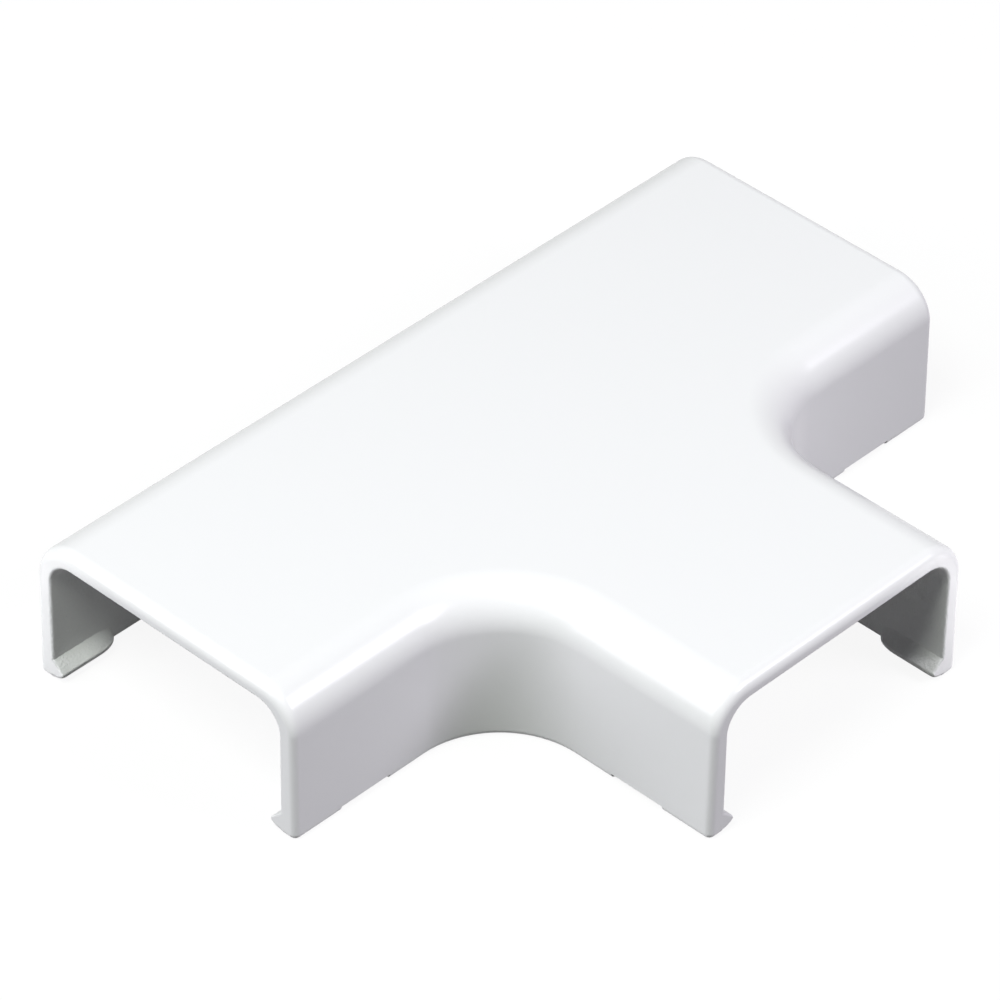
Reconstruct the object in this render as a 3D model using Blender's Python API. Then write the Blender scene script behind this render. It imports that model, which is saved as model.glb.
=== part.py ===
"""Raceway tee cover: one injection-moulded shell that snaps over the joint of three raceways.

The run lies along X and the branch points to -Y. The wall that the cover stands on is the plane
z = 0, and the origin is the middle of the cover's footprint on that plane.
"""
import math

import bmesh
import bpy
from mathutils import Vector

MM = 0.001

# Footprint, measured on the lower edges of the walls.
ARM_WIDTH = 43.4 * MM        # across each arm, outside
RUN_LENGTH = 111.0 * MM      # open end to open end along X
BRANCH_REACH = 33.9 * MM     # from the run's front wall to the branch's open end
HEIGHT = 21.1 * MM

# Shell
WALL = 2.5 * MM              # at the foot; the draft thins it to 2.3 mm under the roof
ROOF = 2.45 * MM
DRAFT = math.radians(0.7)    # the outside of the walls leans in towards the roof

# Rounded edges
CORNER_RADIUS = 12.4 * MM    # plan radius of the two inner corners, on the outside face
EDGE_RADIUS = 5.5 * MM       # rolled edge between roof and walls
INNER_EDGE_RADIUS = 4.2 * MM # the same edge seen from inside
RIM_RADIUS = 0.95 * MM       # outer edge of the open ends and of the walls' feet
LIP_RADIUS = 0.4 * MM        # inner edge of the open ends and of the walls' feet
CORNER_STEPS = 12
EDGE_STEPS = 8
INNER_EDGE_STEPS = 6
RIM_STEPS = 3

# Snap barbs, one inside each wall at each open end
BARB_LENGTH = 9.4 * MM
BARB_STRAIGHT = 6.2 * MM     # full section up to here, then it tapers to its nose
BARB_REACH = 1.6 * MM        # how far the tip stands off the wall
BARB_TIP_HEIGHT = 1.5 * MM
BARB_TOP_HEIGHT = 3.1 * MM
BARB_SETBACK = 0.15 * MM     # behind the rim of the open end
BARB_TIP_RADIUS = 0.3 * MM
BARB_ROOT = 0.9 * MM         # how deep the barb is sunk in the wall
BARB_FOOT = 0.05 * MM        # height of the lead-in where it leaves the wall's foot
NOSE_STEPS = 5

# Reliefs in the walls' lower edges, inward of each barb's foot
RELIEF_START = 7.6 * MM      # from the open end
RELIEF_LENGTH = 8.0 * MM
RELIEF_HEIGHT = 0.9 * MM
RELIEF_FLARE = 0.12          # how fast its two ends spread on the way down

COVER_COLOUR = (0.86, 0.86, 0.85, 1.0)
OVERRUN = 6.0 * MM           # how far a cutter runs past what it cuts

DEPTH = ARM_WIDTH + BRANCH_REACH
HALF_RUN = RUN_LENGTH / 2
BACK_Y = DEPTH / 2
FRONT_Y = BACK_Y - ARM_WIDTH
BRANCH_END_Y = -DEPTH / 2
SHARP = math.radians(60)


def clear_scene():
    for item in list(bpy.data.objects):
        bpy.data.objects.remove(item, do_unlink=True)


def new_collection(name):
    collection = bpy.data.collections.new(name)
    bpy.context.scene.collection.children.link(collection)
    return collection


def new_object(name, bm, collection):
    mesh = bpy.data.meshes.new(name)
    bmesh.ops.recalc_face_normals(bm, faces=bm.faces)
    bm.to_mesh(mesh)
    bm.free()
    item = bpy.data.objects.new(name, mesh)
    collection.objects.link(item)
    return item


def mark_cutter(item):
    item.hide_render = True
    item.display_type = "WIRE"
    return item


def combine(target, other, operation):
    """Joins or cuts target by other and keeps the result as target's own mesh."""
    modifier = target.modifiers.new(operation.title(), "BOOLEAN")
    modifier.operation = operation
    modifier.solver = "EXACT"
    modifier.object = other
    graph = bpy.context.evaluated_depsgraph_get()
    result = bpy.data.meshes.new_from_object(target.evaluated_get(graph))
    target.modifiers.remove(modifier)
    old = target.data
    target.data = result
    bpy.data.meshes.remove(old)


def round_edges(bm, edges, radius, steps):
    bmesh.ops.bevel(bm, geom=edges, offset=radius, offset_type="OFFSET", segments=steps,
                    profile=0.5, affect="EDGES", clamp_overlap=False)


def sharp_edges(bm):
    return [e for e in bm.edges if e.is_manifold and e.calc_face_angle() > SHARP]


# The tee's solid outline

def tee_outline(inset, overrun):
    """Corners of the tee in plan: walls moved in by inset, open ends moved out by overrun."""
    back, front = BACK_Y - inset, FRONT_Y + inset
    side, end = HALF_RUN + overrun, BRANCH_END_Y - overrun
    half = ARM_WIDTH / 2 - inset
    return [(-side, back), (-side, front), (-half, front), (-half, end),
            (half, end), (half, front), (side, front), (side, back)]


def tee_solid(name, collection, inset, overrun, low, high, lean, corner, edge, edge_steps):
    """A tee-shaped block between two heights. Its walls lean in by lean for each unit of height,
    its two inner corners have the radius corner, and its top is rolled over with the radius edge."""
    bm = bmesh.new()
    foot = [bm.verts.new((x, y, low)) for x, y in tee_outline(inset + lean * low, overrun)]
    face = bm.faces.new(foot)
    raised = bmesh.ops.extrude_face_region(bm, geom=[face])["geom"]
    roof = [v for v in raised if isinstance(v, bmesh.types.BMVert)]
    plan_high = tee_outline(inset + lean * high, overrun)
    for vert in roof:
        corner_number = foot.index(min(foot, key=lambda v: (v.co - vert.co).length))
        vert.co = Vector((*plan_high[corner_number], high))
    bm.normal_update()
    inner = [e for e in bm.edges if is_inner_corner(e, overrun)]
    round_edges(bm, inner, corner, CORNER_STEPS)
    top = [e for e in bm.edges if is_rolled_edge(e, high, overrun)]
    round_edges(bm, top, edge, edge_steps)
    return new_object(name, bm, collection)


def on_open_end(point, overrun):
    return (abs(abs(point.x) - HALF_RUN - overrun) < 1e-6
            or abs(point.y - BRANCH_END_Y + overrun) < 1e-6)


def is_inner_corner(edge, overrun):
    """One of the two upright edges where the branch meets the run."""
    a, b = (vert.co for vert in edge.verts)
    return abs(a.z - b.z) > HEIGHT / 2 and not on_open_end(a, overrun)


def is_rolled_edge(edge, high, overrun):
    """An edge of the roof with a wall below it, so not one that spans an open end."""
    a, b = (vert.co for vert in edge.verts)
    level = abs(a.z - high) < 1e-6 and abs(b.z - high) < 1e-6
    spans_end = (on_open_end(a, overrun) and on_open_end(b, overrun)
                 and (abs(a.x - b.x) < 1e-6 or abs(a.y - b.y) < 1e-6 and a.y < FRONT_Y))
    return level and not spans_end


# Shell: the outer solid with its soft rims, less the inner space

def build_shell(parts, cutters):
    outer = tee_solid("tee_cover", parts, 0.0, 0.0, 0.0, HEIGHT, math.tan(DRAFT),
                      CORNER_RADIUS, EDGE_RADIUS, EDGE_STEPS)
    bm = bmesh.new()
    bm.from_mesh(outer.data)
    round_edges(bm, sharp_edges(bm), RIM_RADIUS, RIM_STEPS)
    bm.to_mesh(outer.data)
    bm.free()
    space = mark_cutter(tee_solid("inner_space", cutters, WALL, OVERRUN, -OVERRUN, HEIGHT - ROOF,
                                  0.0, CORNER_RADIUS + WALL, INNER_EDGE_RADIUS,
                                  INNER_EDGE_STEPS))
    combine(outer, space, "DIFFERENCE")
    bm = bmesh.new()
    bm.from_mesh(outer.data)
    bmesh.ops.remove_doubles(bm, verts=bm.verts, dist=1e-7)
    round_edges(bm, sharp_edges(bm), LIP_RADIUS, 2)
    bm.to_mesh(outer.data)
    bm.free()
    return outer


# Snap barbs

def barb_section(share, foot):
    """Section of a barb, as (distance from the wall's inner face, height): a sloped top that holds,
    a rounded tip and a bulging lead-in that runs down to the height foot inside the wall. share is
    1 for the full section and less towards the nose, where the barb sinks into the wall."""
    reach = BARB_REACH * share
    top = BARB_TIP_HEIGHT + (BARB_TOP_HEIGHT - BARB_TIP_HEIGHT) * (0.45 + 0.55 * share)
    tip = BARB_TIP_RADIUS * share
    slope = math.atan2(top - BARB_TIP_HEIGHT, reach)
    points = [(-BARB_ROOT, top), (0.0, top)]
    for step in range(4):
        angle = (math.pi / 2 - slope) * (1 - step / 3)
        points.append((reach - tip + tip * math.cos(angle), BARB_TIP_HEIGHT + tip * math.sin(angle)))
    for step in range(1, 7):
        angle = math.pi / 2 * step / 6
        points.append((-BARB_ROOT + (reach + BARB_ROOT) * math.cos(angle),
                       BARB_TIP_HEIGHT - (BARB_TIP_HEIGHT - foot) * math.sin(angle)))
    return points


def barb_solid(name, collection, end_point, along, inward):
    """One barb, lofted from its full section to its nose. end_point is where the wall's inner face
    meets the open end at z = 0, along points into the arm and inward off the wall."""
    stations = []
    for step in range(RIM_STEPS + 1):
        angle = math.pi / 2 * step / RIM_STEPS
        distance = (RIM_RADIUS - BARB_SETBACK) * (1 - math.cos(angle))
        foot = BARB_FOOT + (RIM_RADIUS - BARB_SETBACK) * (1 - math.sin(angle)) * 0.6
        stations.append((distance, 0.86 + 0.14 * math.sin(angle), foot))
    taper = BARB_LENGTH - BARB_STRAIGHT
    for step in range(NOSE_STEPS):
        angle = math.pi / 2 * step / NOSE_STEPS
        stations.append((BARB_STRAIGHT + taper * math.sin(angle), math.cos(angle), BARB_FOOT))
    bm = bmesh.new()
    rings = []
    for distance, share, foot in stations:
        ring = []
        for off, up in barb_section(share, foot):
            point = end_point + along * (BARB_SETBACK + distance) + inward * off
            ring.append(bm.verts.new((point.x, point.y, up)))
        rings.append(ring)
    for ring, following in zip(rings, rings[1:]):
        for i in range(len(ring)):
            j = (i + 1) % len(ring)
            bm.faces.new((ring[i], ring[j], following[j], following[i]))
    bm.faces.new(rings[0])
    bm.faces.new(rings[-1])
    return mark_cutter(new_object(name, bm, collection))


def add_barbs(cover, cutters):
    half = ARM_WIDTH / 2 - WALL
    for side in (-1, 1):
        word = "left" if side < 0 else "right"
        into_run = Vector((-side, 0.0))
        places = [("back", Vector((side * HALF_RUN, BACK_Y - WALL)), into_run, Vector((0, -1))),
                  ("front", Vector((side * HALF_RUN, FRONT_Y + WALL)), into_run, Vector((0, 1))),
                  ("branch", Vector((side * half, BRANCH_END_Y)), Vector((0, 1)), Vector((-side, 0)))]
        for wall, end_point, along, inward in places:
            barb = barb_solid("barb_%s_%s" % (wall, word), cutters, end_point, along, inward)
            combine(cover, barb, "UNION")


# Reliefs: one shallow block across each arm trims both of its walls

def cut_reliefs(cover, cutters):
    middle = RELIEF_START + RELIEF_LENGTH / 2
    across = ARM_WIDTH + 2 * OVERRUN
    places = [("relief_left", (-HALF_RUN + middle, BACK_Y - ARM_WIDTH / 2), (RELIEF_LENGTH, across)),
              ("relief_right", (HALF_RUN - middle, BACK_Y - ARM_WIDTH / 2), (RELIEF_LENGTH, across)),
              ("relief_branch", (0.0, BRANCH_END_Y + middle), (across, RELIEF_LENGTH))]
    for name, (x, y), (length_x, length_y) in places:
        bm = bmesh.new()
        bmesh.ops.create_cube(bm, size=1.0)
        size = (length_x, length_y, OVERRUN + RELIEF_HEIGHT)
        bmesh.ops.scale(bm, vec=size, verts=bm.verts)
        bmesh.ops.translate(bm, vec=(0, 0, (RELIEF_HEIGHT - OVERRUN) / 2), verts=bm.verts)
        flare = 1 + 2 * RELIEF_FLARE * (OVERRUN + RELIEF_HEIGHT) / RELIEF_LENGTH
        spread = (flare, 1, 1) if length_x == RELIEF_LENGTH else (1, flare, 1)
        bmesh.ops.scale(bm, vec=spread, verts=[v for v in bm.verts if v.co.z < 0])
        bmesh.ops.translate(bm, vec=(x, y, 0), verts=bm.verts)
        combine(cover, mark_cutter(new_object(name, bm, cutters)), "DIFFERENCE")


def plastic(name, colour, roughness):
    material = bpy.data.materials.new(name)
    material.use_nodes = True
    shader = material.node_tree.nodes["Principled BSDF"]
    shader.inputs["Base Color"].default_value = colour
    shader.inputs["Roughness"].default_value = roughness
    shader.inputs["Metallic"].default_value = 0.0
    return material


def build():
    clear_scene()
    parts = new_collection("raceway_tee_cover")
    cutters = new_collection("cutters")
    cover = build_shell(parts, cutters)
    add_barbs(cover, cutters)
    cut_reliefs(cover, cutters)
    cover.data.materials.clear()
    cover.data.materials.append(plastic("cover_plastic", COVER_COLOUR, 0.32))
    cover.data.shade_smooth()
    cover.data.set_sharp_from_angle(angle=math.radians(40))


build()
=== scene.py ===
"""Raceway tee cover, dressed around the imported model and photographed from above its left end."""
import math

import bmesh
import bpy
from mathutils import Matrix, Vector


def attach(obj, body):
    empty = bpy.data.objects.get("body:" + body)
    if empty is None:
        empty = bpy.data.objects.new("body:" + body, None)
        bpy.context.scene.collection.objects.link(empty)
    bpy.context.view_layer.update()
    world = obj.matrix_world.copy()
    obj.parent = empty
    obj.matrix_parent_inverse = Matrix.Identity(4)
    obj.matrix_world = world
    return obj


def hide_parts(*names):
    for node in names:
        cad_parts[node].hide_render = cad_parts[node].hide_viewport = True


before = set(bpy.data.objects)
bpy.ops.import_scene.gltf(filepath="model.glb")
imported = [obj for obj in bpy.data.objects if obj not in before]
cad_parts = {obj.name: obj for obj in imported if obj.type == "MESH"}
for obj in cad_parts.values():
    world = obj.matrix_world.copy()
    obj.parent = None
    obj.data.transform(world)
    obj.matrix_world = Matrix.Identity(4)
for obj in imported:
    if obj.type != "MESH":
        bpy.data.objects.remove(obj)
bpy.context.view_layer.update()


# The cover: a thin tee-shaped shell, injection-moulded in one piece from rigid white plastic.
# The outside comes from a polished cavity, and the inside from a spark-eroded core. Six barbs
# inside its walls snap over the raceways' edges, and the walls' feet stand on the wall behind.

MM = 0.001
ARM_WIDTH = 43.4 * MM          # across an arm, on the walls' feet
RUN_LENGTH = 111.0 * MM
BRANCH_REACH = 33.9 * MM       # from the run's front wall to the branch's open end
HEIGHT = 21.1 * MM
WALL = 2.5 * MM                # at the foot
ROOF = 2.45 * MM
DRAFT = math.radians(0.7)      # the outside of the walls leans in towards the roof
CORNER_RADIUS = 12.4 * MM      # of the two inner corners, in plan
CORNER_STEPS = 48

EDGE_RADIUS = 5.5 * MM         # rolled edge between roof and walls
EDGE_STEPS = 20
INNER_EDGE_RADIUS = 3.7 * MM   # the same edge seen from inside
INNER_EDGE_STEPS = 14
ROOF_RIM_RADIUS = 1.6 * MM     # outer edge of the open ends on the roof
RIM_RADIUS = 0.95 * MM         # the same edge on the legs, and the outer edge of the feet
RIM_EASE = 1.5                 # how the first of the two eases into the second, as a power
RIM_STEPS = 14
FOOT_STEPS = 8
LIP_RADIUS = 0.4 * MM          # inner edge of the open ends and of the feet
LIP_STEPS = 6
LEAST_RADIUS = 0.04 * MM       # where two rounded edges meet

BARB_STRAIGHT = 6.3 * MM       # full section from the open end to here
BARB_TAPER = 3.2 * MM          # from there it sinks to its nose
BARB_REACH = 1.6 * MM          # how far the tip stands off the wall
BARB_TIP_HEIGHT = 1.5 * MM
BARB_TOP_HEIGHT = 3.1 * MM
BARB_TIP_RADIUS = 0.3 * MM
BARB_END_RADIUS = 0.25 * MM    # where it meets the rim of the open end
BARB_END_SHARE = 0.88          # how much of its section is left on the rim itself
BARB_ROOT = 0.9 * MM           # how deep the curve of its lead-in starts inside the wall
BARB_FOOT = 0.05 * MM          # height above the foot where that curve starts
NOSE_TOP_SHARE = 0.45          # how much of the top's rise above the tip is left at the nose
NOSE_TIP_SHARE = 0.3           # how much of the tip's radius is left at the nose
NOSE_END = 0.999               # share of the taper past which the barb counts as gone
NOSE_STEPS = 16
LEAD_IN_STEPS = 14
TIP_STEPS = 6
LEAST_STRIP = 0.02 * MM        # least flat height between the foot's lip and the lead-in
BARE_STRIP = 0.1 * MM          # the same strip past the nose, where the wall has no barb

RELIEF_START = 7.6 * MM        # from the open end
RELIEF_LENGTH = 8.0 * MM
RELIEF_HEIGHT = 0.9 * MM
RELIEF_FLARE = 0.12            # how fast its two ends spread on the way down
RELIEF_MARGIN = 2 * MM         # from its far end to the last section taken near an open end
RELIEF_OVERRUN = 6 * MM        # how far its cutting block reaches past the walls and the feet

BACK_Y = (ARM_WIDTH + BRANCH_REACH) / 2
FRONT_Y = BACK_Y - ARM_WIDTH
BRANCH_END_Y = -BACK_Y
HALF_RUN = RUN_LENGTH / 2
HALF_ARM = ARM_WIDTH / 2
OUTSIDE, INSIDE = 0, 1


def on_circle(centre, radius, degrees):
    """A point of a circle in a wall's section."""
    angle = math.radians(degrees)
    return (centre[0] + radius * math.cos(angle), centre[1] + radius * math.sin(angle))


def arc(centre, radius, first, last, steps, from_step=0):
    """Points of an arc in a wall's section, between two angles in degrees."""
    return [on_circle(centre, radius, first + (last - first) * step / steps)
            for step in range(from_step, steps + 1)]


def rim_rounding(radius, distance):
    """How far a surface draws back at that distance from the open end."""
    left = max(radius - distance, 0.0)
    return radius - math.sqrt(radius * radius - left * left)


def barb_share(distance):
    """How much of the barb's full section stands at that distance from the open end."""
    if distance < BARB_END_RADIUS:
        turn = 1 - distance / BARB_END_RADIUS
        return BARB_END_SHARE + (1 - BARB_END_SHARE) * math.sqrt(1 - turn * turn)
    if distance < BARB_STRAIGHT:
        return 1.0
    past = (distance - BARB_STRAIGHT) / BARB_TAPER
    return math.sqrt(1 - past * past) if past < NOSE_END else 0.0


def barb_face(distance, foot, lip, face):
    """The wall's inner face from the foot's lip to above the barb, at one distance from the open
    end, as points (inward from the wall's outer foot, height)."""
    share = barb_share(distance)
    reach = BARB_REACH * share
    rise = (BARB_TOP_HEIGHT - BARB_TIP_HEIGHT) * (NOSE_TOP_SHARE + (1 - NOSE_TOP_SHARE) * share)
    drop = BARB_TIP_HEIGHT - foot - BARB_FOOT
    meets = BARB_TIP_HEIGHT - drop * math.sqrt(1 - (BARB_ROOT / (reach + BARB_ROOT)) ** 2)
    if share == 0:
        meets = foot + LIP_RADIUS + BARE_STRIP
    lip_centre = (face - lip, foot + lip)
    if meets < foot + lip:
        cut_short = math.degrees(math.asin((meets - foot - lip) / lip))
        points = arc(lip_centre, lip, -90, cut_short, LIP_STEPS)
    else:
        points = arc(lip_centre, lip, -90, 0, LIP_STEPS - 1)
        points.append((face, max(meets, foot + lip + LEAST_STRIP)))
    start = points[-1][1]
    for step in range(1, LEAD_IN_STEPS + 1):
        part = 1 - step / LEAD_IN_STEPS
        height = BARB_TIP_HEIGHT - (BARB_TIP_HEIGHT - start) * math.sin(math.pi / 2 * part)
        curve = math.sqrt(max(1 - ((BARB_TIP_HEIGHT - height) / drop) ** 2, 0.0))
        points.append((max(face, WALL + (reach + BARB_ROOT) * curve - BARB_ROOT), height))
    tip = BARB_TIP_RADIUS * max(share, NOSE_TIP_SHARE)
    tip_centre = (WALL + reach - tip, BARB_TIP_HEIGHT)
    slope = math.degrees(math.atan2(rise, max(reach, tip)))
    for off, height in arc(tip_centre, tip, 0, 90 - slope, TIP_STEPS, 1):
        points.append((max(face, off) if share else face, height))
    points.append((face, BARB_TIP_HEIGHT + rise))
    return points


def section(distance):
    """A wall's whole section at that distance from the open end: from the roof's top, down the
    outside to the foot, and up the inside to the roof's underside."""
    lean = math.tan(DRAFT)
    inner_draw = rim_rounding(LIP_RADIUS, distance)
    edge_height = HEIGHT - EDGE_RADIUS
    edge_centre = (EDGE_RADIUS / math.cos(DRAFT) + lean * edge_height, edge_height)
    foot_centre = (RIM_RADIUS / math.cos(DRAFT) + lean * RIM_RADIUS, RIM_RADIUS)
    tilt = 180 - math.degrees(DRAFT)
    outside = []
    for step in range(EDGE_STEPS + 1):
        rim = ROOF_RIM_RADIUS + (RIM_RADIUS - ROOF_RIM_RADIUS) * (step / EDGE_STEPS) ** RIM_EASE
        turn = 90 + (tilt - 90) * step / EDGE_STEPS
        outside.append(on_circle(edge_centre, EDGE_RADIUS - rim_rounding(rim, distance), turn))
    foot_radius = max(RIM_RADIUS - rim_rounding(RIM_RADIUS, distance), LEAST_RADIUS)
    outside += arc(foot_centre, foot_radius, tilt, 270, FOOT_STEPS)
    foot = outside[-1][1]
    face = WALL - inner_draw
    inside = barb_face(distance, foot, max(LIP_RADIUS - inner_draw, LEAST_RADIUS), face)
    inner_centre = (WALL + INNER_EDGE_RADIUS, HEIGHT - ROOF - INNER_EDGE_RADIUS)
    inside += arc(inner_centre, INNER_EDGE_RADIUS + inner_draw, 180, 90, INNER_EDGE_STEPS)
    return outside, inside


def end_distances():
    """Where sections are taken near an open end: close together on the rim and the barb's nose."""
    rim = [ROOF_RIM_RADIUS * (1 - math.cos(math.pi / 2 * step / RIM_STEPS))
           for step in range(RIM_STEPS + 1)]
    nose = [BARB_STRAIGHT + BARB_TAPER * math.sin(math.pi / 2 * step / NOSE_STEPS)
            for step in range(NOSE_STEPS + 1)]
    return rim + nose + [RELIEF_START + RELIEF_LENGTH + RELIEF_MARGIN]


def back_wall():
    """Places of the sections along the straight back wall, from left to right: (point on the
    outer foot, inward direction, distance from the nearer open end)."""
    start, end = Vector((-HALF_RUN, BACK_Y)), Vector((HALF_RUN, BACK_Y))
    along, inward = Vector((1, 0)), Vector((0, -1))
    distances = end_distances()
    left_half = [(start + along * d, inward, d) for d in distances]
    right_half = [(end - along * d, inward, d) for d in reversed(distances)]
    return left_half + right_half


def front_wall(side):
    """The same for the wall that turns from the run into the branch, on the left (-1) or the
    right (1), from the run's open end to the branch's."""
    start = Vector((side * HALF_RUN, FRONT_Y))
    corner = Vector((side * (HALF_ARM + CORNER_RADIUS), FRONT_Y - CORNER_RADIUS))
    end = Vector((side * HALF_ARM, BRANCH_END_Y))
    distances = end_distances()
    in_run = [(start - Vector((side * d, 0)), Vector((0, 1)), d) for d in distances]
    in_branch = [(end + Vector((0, d)), Vector((-side, 0)), d) for d in reversed(distances)]
    round_corner = []
    for step in range(CORNER_STEPS + 1):
        angle = math.pi / 2 * step / CORNER_STEPS
        spoke = Vector((-side * math.sin(angle), math.cos(angle)))
        round_corner.append((corner + spoke * CORNER_RADIUS, spoke, distances[-1]))
    return in_run + round_corner + in_branch


def add_wall(bm, stations):
    """One wall with its rolled edge. Returns its rows of vertices, one for each station."""
    rows = []
    for foot_point, inward, distance in stations:
        outside, inside = section(distance)
        row = []
        for off, height in outside + inside:
            place = foot_point + inward * off
            row.append(bm.verts.new((place.x, place.y, height)))
        rows.append(row)
    for row, following in zip(rows, rows[1:]):
        for i in range(len(row) - 1):
            face = bm.faces.new((row[i], row[i + 1], following[i + 1], following[i]))
            face.material_index = OUTSIDE if i < len(outside) else INSIDE
    return rows


WHITE = (0.87, 0.875, 0.875)
GRAIN_SIZE = 0.35 * MM
WAVE_LENGTH = 14 * MM          # of the slow wave that shrinkage leaves
WAVE_DEPTH = 0.02 * MM
GLOSS_SPREAD = 0.04            # how much the roughness goes up and down along that wave


def plastic(name, roughness, grain_depth):
    """Opaque white plastic: the grain of the mould's surface over the slow shrinkage wave."""
    material = bpy.data.materials.new(name)
    material.use_nodes = True
    nodes, links = material.node_tree.nodes, material.node_tree.links
    shader = nodes["Principled BSDF"]
    shader.inputs["Base Color"].default_value = (*WHITE, 1.0)
    shader.inputs["IOR"].default_value = 1.5
    place = nodes.new("ShaderNodeTexCoord")
    grain = nodes.new("ShaderNodeTexNoise")
    grain.inputs["Scale"].default_value = 1 / GRAIN_SIZE
    grain.inputs["Detail"].default_value = 3.0
    wave = nodes.new("ShaderNodeTexNoise")
    wave.inputs["Scale"].default_value = 1 / WAVE_LENGTH
    wave.inputs["Detail"].default_value = 1.0
    gloss = nodes.new("ShaderNodeMapRange")
    gloss.inputs["To Min"].default_value = roughness - GLOSS_SPREAD
    gloss.inputs["To Max"].default_value = roughness + GLOSS_SPREAD
    slow_bump = nodes.new("ShaderNodeBump")
    slow_bump.inputs["Distance"].default_value = WAVE_DEPTH
    fine_bump = nodes.new("ShaderNodeBump")
    fine_bump.inputs["Distance"].default_value = grain_depth
    for texture in (grain, wave):
        links.new(place.outputs["Object"], texture.inputs["Vector"])
    links.new(wave.outputs["Fac"], gloss.inputs["Value"])
    links.new(wave.outputs["Fac"], slow_bump.inputs["Height"])
    links.new(grain.outputs["Fac"], fine_bump.inputs["Height"])
    links.new(slow_bump.outputs["Normal"], fine_bump.inputs["Normal"])
    links.new(gloss.outputs["Result"], shader.inputs["Roughness"])
    links.new(fine_bump.outputs["Normal"], shader.inputs["Normal"])
    return material


finishes = (plastic("white_plastic_satin", roughness=0.24, grain_depth=0.0012 * MM),
            plastic("white_plastic_eroded", roughness=0.55, grain_depth=0.12 * MM))

bm = bmesh.new()
back = add_wall(bm, back_wall())
left = add_wall(bm, front_wall(-1))
right = add_wall(bm, front_wall(1))
arms = ((back, left), (back[::-1], right), (left[::-1], right[::-1]))
for one, other in arms:
    bm.faces.new(one[0] + other[0][::-1])
    for place, finish in ((0, OUTSIDE), (-1, INSIDE)):
        for k in range(RIM_STEPS):
            corners = (one[k][place], one[k + 1][place], other[k + 1][place], other[k][place])
            bm.faces.new(corners).material_index = finish
for place, finish in ((0, OUTSIDE), (-1, INSIDE)):
    outline = [row[place] for row in back[RIM_STEPS:-RIM_STEPS]]
    outline += [row[place] for row in right[RIM_STEPS:-RIM_STEPS]]
    outline += [row[place] for row in left[RIM_STEPS:-RIM_STEPS][::-1]]
    bm.faces.new(outline).material_index = finish
bmesh.ops.recalc_face_normals(bm, faces=bm.faces)
for face in bm.faces:
    face.smooth = True
cover_mesh = bpy.data.meshes.new("tee_cover_shell")
bm.to_mesh(cover_mesh)
bm.free()
for finish in finishes:
    cover_mesh.materials.append(finish)
cover = bpy.data.objects.new("tee_cover_shell", cover_mesh)
bpy.context.scene.collection.objects.link(cover)


def cut_relief(x, y, along_x):
    """Trims the feet of both walls of an arm with one shallow block across it."""
    across = ARM_WIDTH + 2 * RELIEF_OVERRUN
    bm = bmesh.new()
    bmesh.ops.create_cube(bm, size=1.0)
    for vert in bm.verts:
        low = vert.co.z < 0
        flare = 2 * RELIEF_FLARE * (RELIEF_OVERRUN + RELIEF_HEIGHT) if low else 0
        length = RELIEF_LENGTH + flare
        size_x, size_y = (length, across) if along_x else (across, length)
        height = -RELIEF_OVERRUN if low else RELIEF_HEIGHT
        vert.co = (x + vert.co.x * size_x, y + vert.co.y * size_y, height)
    mesh = bpy.data.meshes.new("relief")
    bm.to_mesh(mesh)
    bm.free()
    for finish in finishes:
        mesh.materials.append(finish)
    block = bpy.data.objects.new("relief", mesh)
    bpy.context.scene.collection.objects.link(block)
    cut = cover.modifiers.new("Relief", "BOOLEAN")
    cut.operation, cut.solver, cut.object = "DIFFERENCE", "EXACT", block
    evaluated = cover.evaluated_get(bpy.context.evaluated_depsgraph_get())
    shape = bpy.data.meshes.new_from_object(evaluated)
    cover.modifiers.remove(cut)
    cover.data = shape
    bpy.data.objects.remove(block, do_unlink=True)


relief_middle = RELIEF_START + RELIEF_LENGTH / 2
cut_relief(-HALF_RUN + relief_middle, BACK_Y - HALF_ARM, True)
cut_relief(HALF_RUN - relief_middle, BACK_Y - HALF_ARM, True)
cut_relief(0.0, BRANCH_END_Y + relief_middle, False)
SHARP_ANGLE = math.radians(35)
cover.data.set_sharp_from_angle(angle=SHARP_ANGLE)
shading = cover.modifiers.new("Even shading", "WEIGHTED_NORMAL")
shading.mode = "FACE_AREA"
shading.keep_sharp = True
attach(cover, "root")
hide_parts("tee_cover")


# The table: a wide pale sheet that the cover stands on. It shows white to the camera and in
# reflections, and keeps the cover's shadow.

TABLE_REACH = 4.0
PAPER = 0.10                   # how much light the sheet throws back
LIFT = 0.91                    # added where it is seen, so that it is white outside the shadow


def seen_directly(nodes, links):
    """A socket that is 1 for what the camera sees straight on, in a reflection or through
    something clear, and 0 for light that the surface only scatters."""
    path = nodes.new("ShaderNodeLightPath")
    seen = path.outputs["Is Camera Ray"]
    for kind in ("Is Glossy Ray", "Is Transmission Ray"):
        either = nodes.new("ShaderNodeMath")
        either.operation = "MAXIMUM"
        links.new(seen, either.inputs[0])
        links.new(path.outputs[kind], either.inputs[1])
        seen = either.outputs[0]
    return seen


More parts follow.
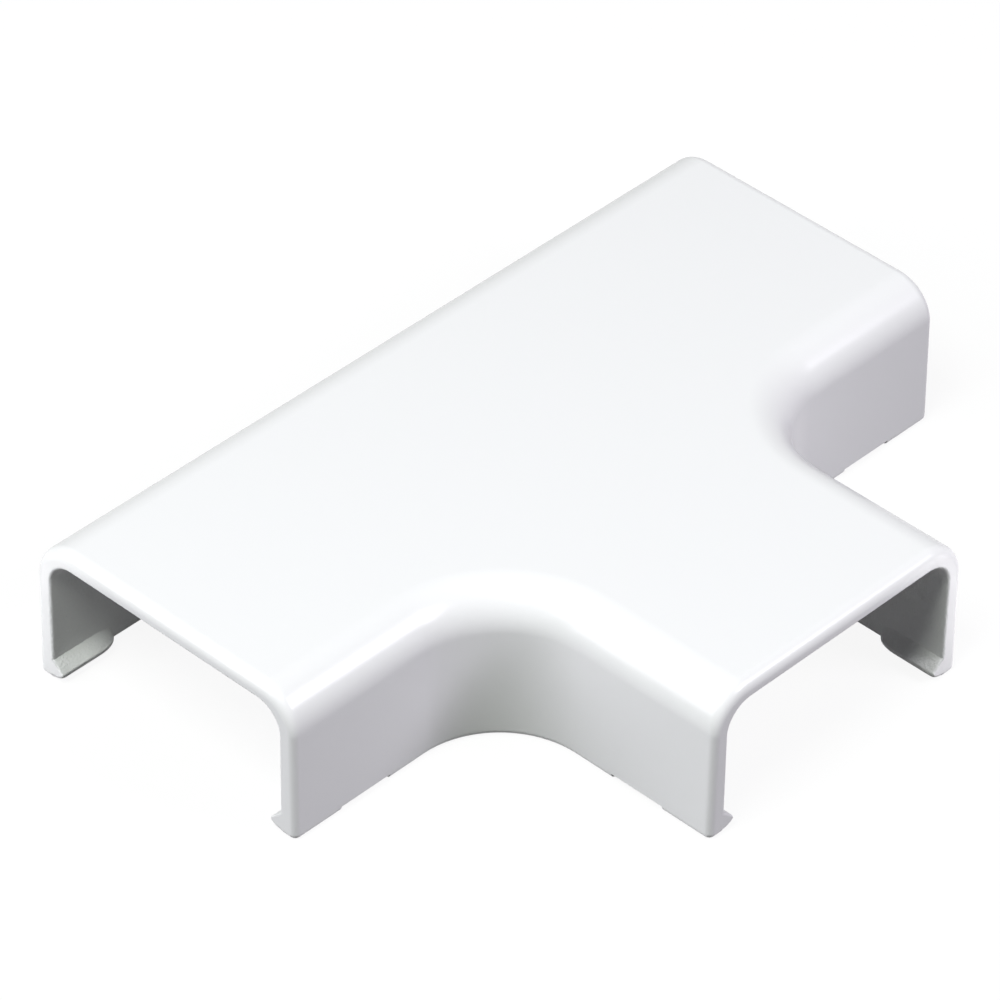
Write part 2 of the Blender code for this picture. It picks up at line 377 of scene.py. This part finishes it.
bm = bmesh.new()
bmesh.ops.create_grid(bm, x_segments=1, y_segments=1, size=TABLE_REACH)
table_mesh = bpy.data.meshes.new("table_sheet")
bm.to_mesh(table_mesh)
bm.free()
table = bpy.data.objects.new("table_sheet", table_mesh)
bpy.context.scene.collection.objects.link(table)
sheet = bpy.data.materials.new("pale_sheet")
sheet.use_nodes = True
nodes, links = sheet.node_tree.nodes, sheet.node_tree.links
nodes.remove(nodes["Principled BSDF"])
paper = nodes.new("ShaderNodeBsdfDiffuse")
paper.inputs["Color"].default_value = (PAPER, PAPER, PAPER, 1.0)
lift = nodes.new("ShaderNodeEmission")
lift.inputs["Color"].default_value = (1.0, 1.0, 1.0, 1.0)
amount = nodes.new("ShaderNodeMath")
amount.operation = "MULTIPLY"
amount.inputs[1].default_value = LIFT
total = nodes.new("ShaderNodeAddShader")
links.new(seen_directly(nodes, links), amount.inputs[0])
links.new(amount.outputs[0], lift.inputs["Strength"])
links.new(paper.outputs[0], total.inputs[0])
links.new(lift.outputs[0], total.inputs[1])
links.new(total.outputs[0], nodes["Material Output"].inputs["Surface"])
table.data.materials.append(sheet)


# The light: a faint pale sky, and four soft boxes, one high up, two on the left and one on the
# right. A small card beside each open end that the camera sees lights the far leg's rim.

world = bpy.data.worlds.new("studio")
bpy.context.scene.world = world
world.use_nodes = True
nodes, links = world.node_tree.nodes, world.node_tree.links
sky = nodes["Background"]
sky.inputs["Color"].default_value = (0.95, 0.98, 1.03, 1.0)
sky.inputs["Strength"].default_value = 0.005
white = nodes.new("ShaderNodeBackground")
white.inputs["Color"].default_value = (1.0, 1.0, 1.0, 1.0)
white.inputs["Strength"].default_value = 1.0
choice = nodes.new("ShaderNodeMixShader")
links.new(seen_directly(nodes, links), choice.inputs["Fac"])
links.new(sky.outputs[0], choice.inputs[1])
links.new(white.outputs[0], choice.inputs[2])
links.new(choice.outputs[0], nodes["World Output"].inputs["Surface"])


def flat_lamp(name, place, facing, size, watts, colour):
    """A rectangular lamp turned in the direction `facing`, which the camera doesn't see."""
    lamp = bpy.data.lights.new(name, "AREA")
    lamp.shape = "RECTANGLE"
    lamp.size, lamp.size_y = size
    lamp.energy = watts
    lamp.color = colour
    item = bpy.data.objects.new(name, lamp)
    bpy.context.scene.collection.objects.link(item)
    item.location = place
    item.rotation_euler = Vector(facing).to_track_quat("-Z", "Y").to_euler()
    item.visible_camera = False


for name, place, width, watts, colour in (
        ("high_box", (-0.465, -0.080, 0.882), 0.36, 6.2, (0.98, 1.03, 0.955)),
        ("left_box", (-0.755, 0.225, 0.616), 0.40, 2.2, (1.0, 0.97, 1.10)),
        ("low_left_box", (-0.800, 0.492, 0.342), 0.45, 2.55, (1.0, 0.99, 1.06)),
        ("right_box", (0.388, -0.686, 0.616), 0.40, 5.2, (1.0, 0.955, 1.07))):
    flat_lamp(name, place, -Vector(place), (width, width), watts, colour)
for name, place, facing, watts in (
        ("run_end_card", (-0.0665, 0.0455, 0.011), (0.81, -0.59, 0), 0.0009),
        ("branch_end_card", (0.0275, -0.0505, 0.011), (-0.6, 0.8, 0), 0.0014)):
    flat_lamp(name, place, facing, (10 * MM, 18 * MM), watts, (1.0, 1.0, 1.0))


# The camera: a long lens, a little over three quarters of a metre away and 39 degrees above the
# table, turned to the left end of the run.

azimuth, elevation, tilt = math.radians(-46.499), math.radians(39.302), math.radians(0.876)
distance, aside, above, aim_height = 0.772290, -0.011539, 0.011989, 0.9 * MM
level_x, level_y = math.sin(azimuth), -math.cos(azimuth)
back = Vector((level_x * math.cos(elevation), level_y * math.cos(elevation), math.sin(elevation)))
right = Vector((0, 0, 1)).cross(back).normalized()
up = back.cross(right)
right, up = (right * math.cos(tilt) + up * math.sin(tilt),
             up * math.cos(tilt) - right * math.sin(tilt))
place = right * aside + up * above + back * distance + Vector((0, 0, aim_height))
lens = bpy.data.cameras.new("long_lens")
lens.sensor_width = 36.0
lens.lens = 230.4
lens.clip_start, lens.clip_end = 0.05, 20.0
camera = bpy.data.objects.new("camera", lens)
bpy.context.scene.collection.objects.link(camera)
camera.matrix_world = Matrix.Translation(place) @ Matrix((right, up, back)).transposed().to_4x4()
bpy.context.scene.camera = camera
bpy.context.scene.view_settings.view_transform = "Standard"
